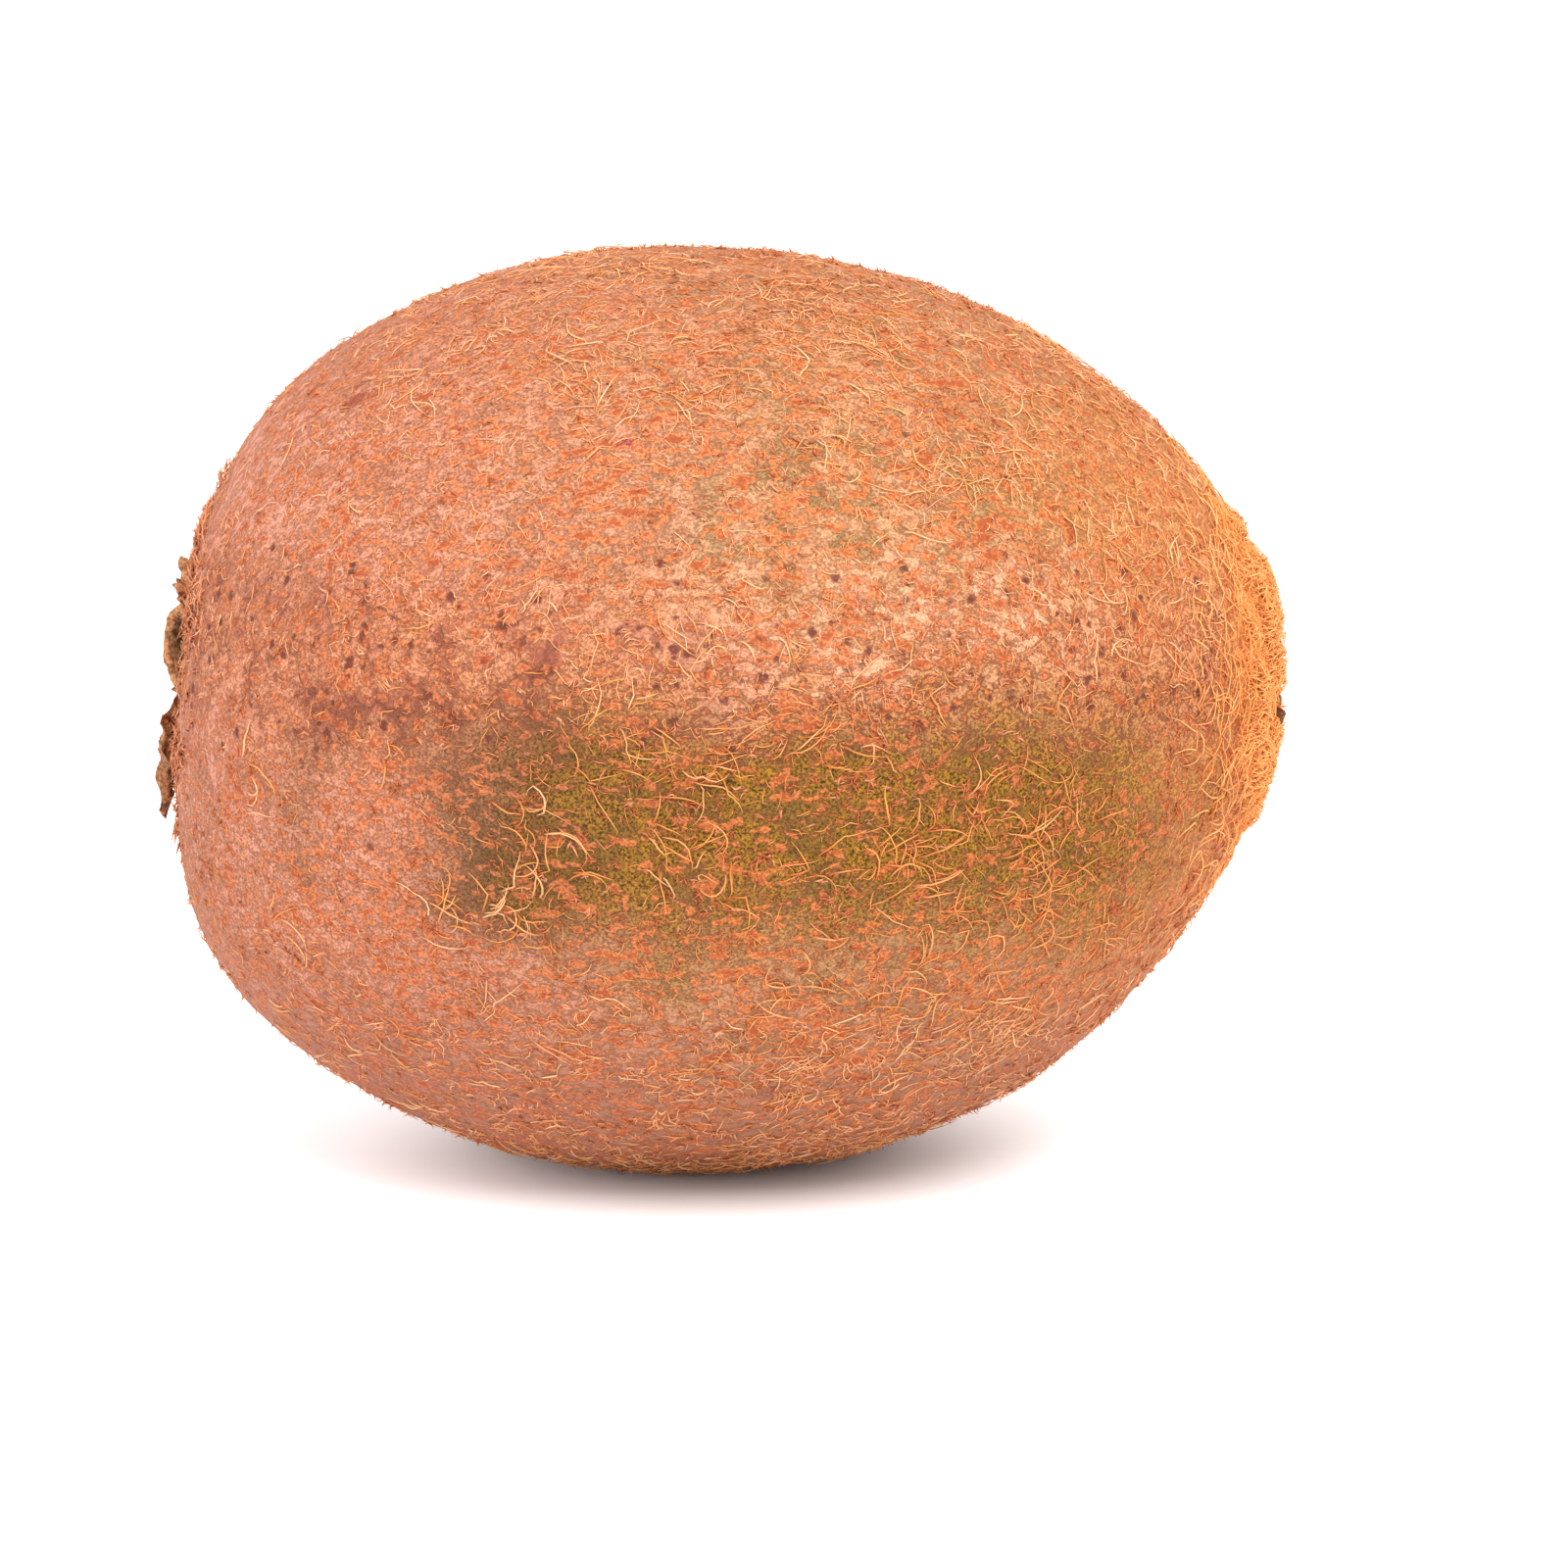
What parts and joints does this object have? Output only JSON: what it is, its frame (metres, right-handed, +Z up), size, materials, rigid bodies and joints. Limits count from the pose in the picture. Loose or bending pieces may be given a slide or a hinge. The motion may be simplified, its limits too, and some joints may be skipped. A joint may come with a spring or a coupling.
{
  "type": "kiwi fruit",
  "caption": "Whole hairy brown kiwi fruit lying on its side, with dry sepals round the stem scar and dried styles at the blossom end.",
  "frame": {"origin": "middle of the small flat spot that the fruit rests on, under its widest station", "axes": "+X from the stem end to the blossom end, along the fruit; +Y to the back; +Z up, out of the resting surface"},
  "size_m": [0.0654, 0.0577, 0.0533],
  "materials": {
    "skin": "thin dry brown skin, speckled olive and rust, rubbed smooth along the shoulder",
    "hair": "short curly straw and ochre hairs, a dense mat at the blossom end",
    "stem_wood": "dry grey-brown wood",
    "dry_sepal": "dry ragged tan-brown flaps, darker at the edges",
    "dry_styles": "dry dark brown threads"
  },
  "bodies": {
    "root": {"fruit": "skin", "stem_scar": "stem_wood", "sepal_1": "dry_sepal", "sepal_2": "dry_sepal", "sepal_3": "dry_sepal", "sepal_4": "dry_sepal", "sepal_5": "dry_sepal", "style_remnants": "dry_styles"}
  },
  "joints": []
}
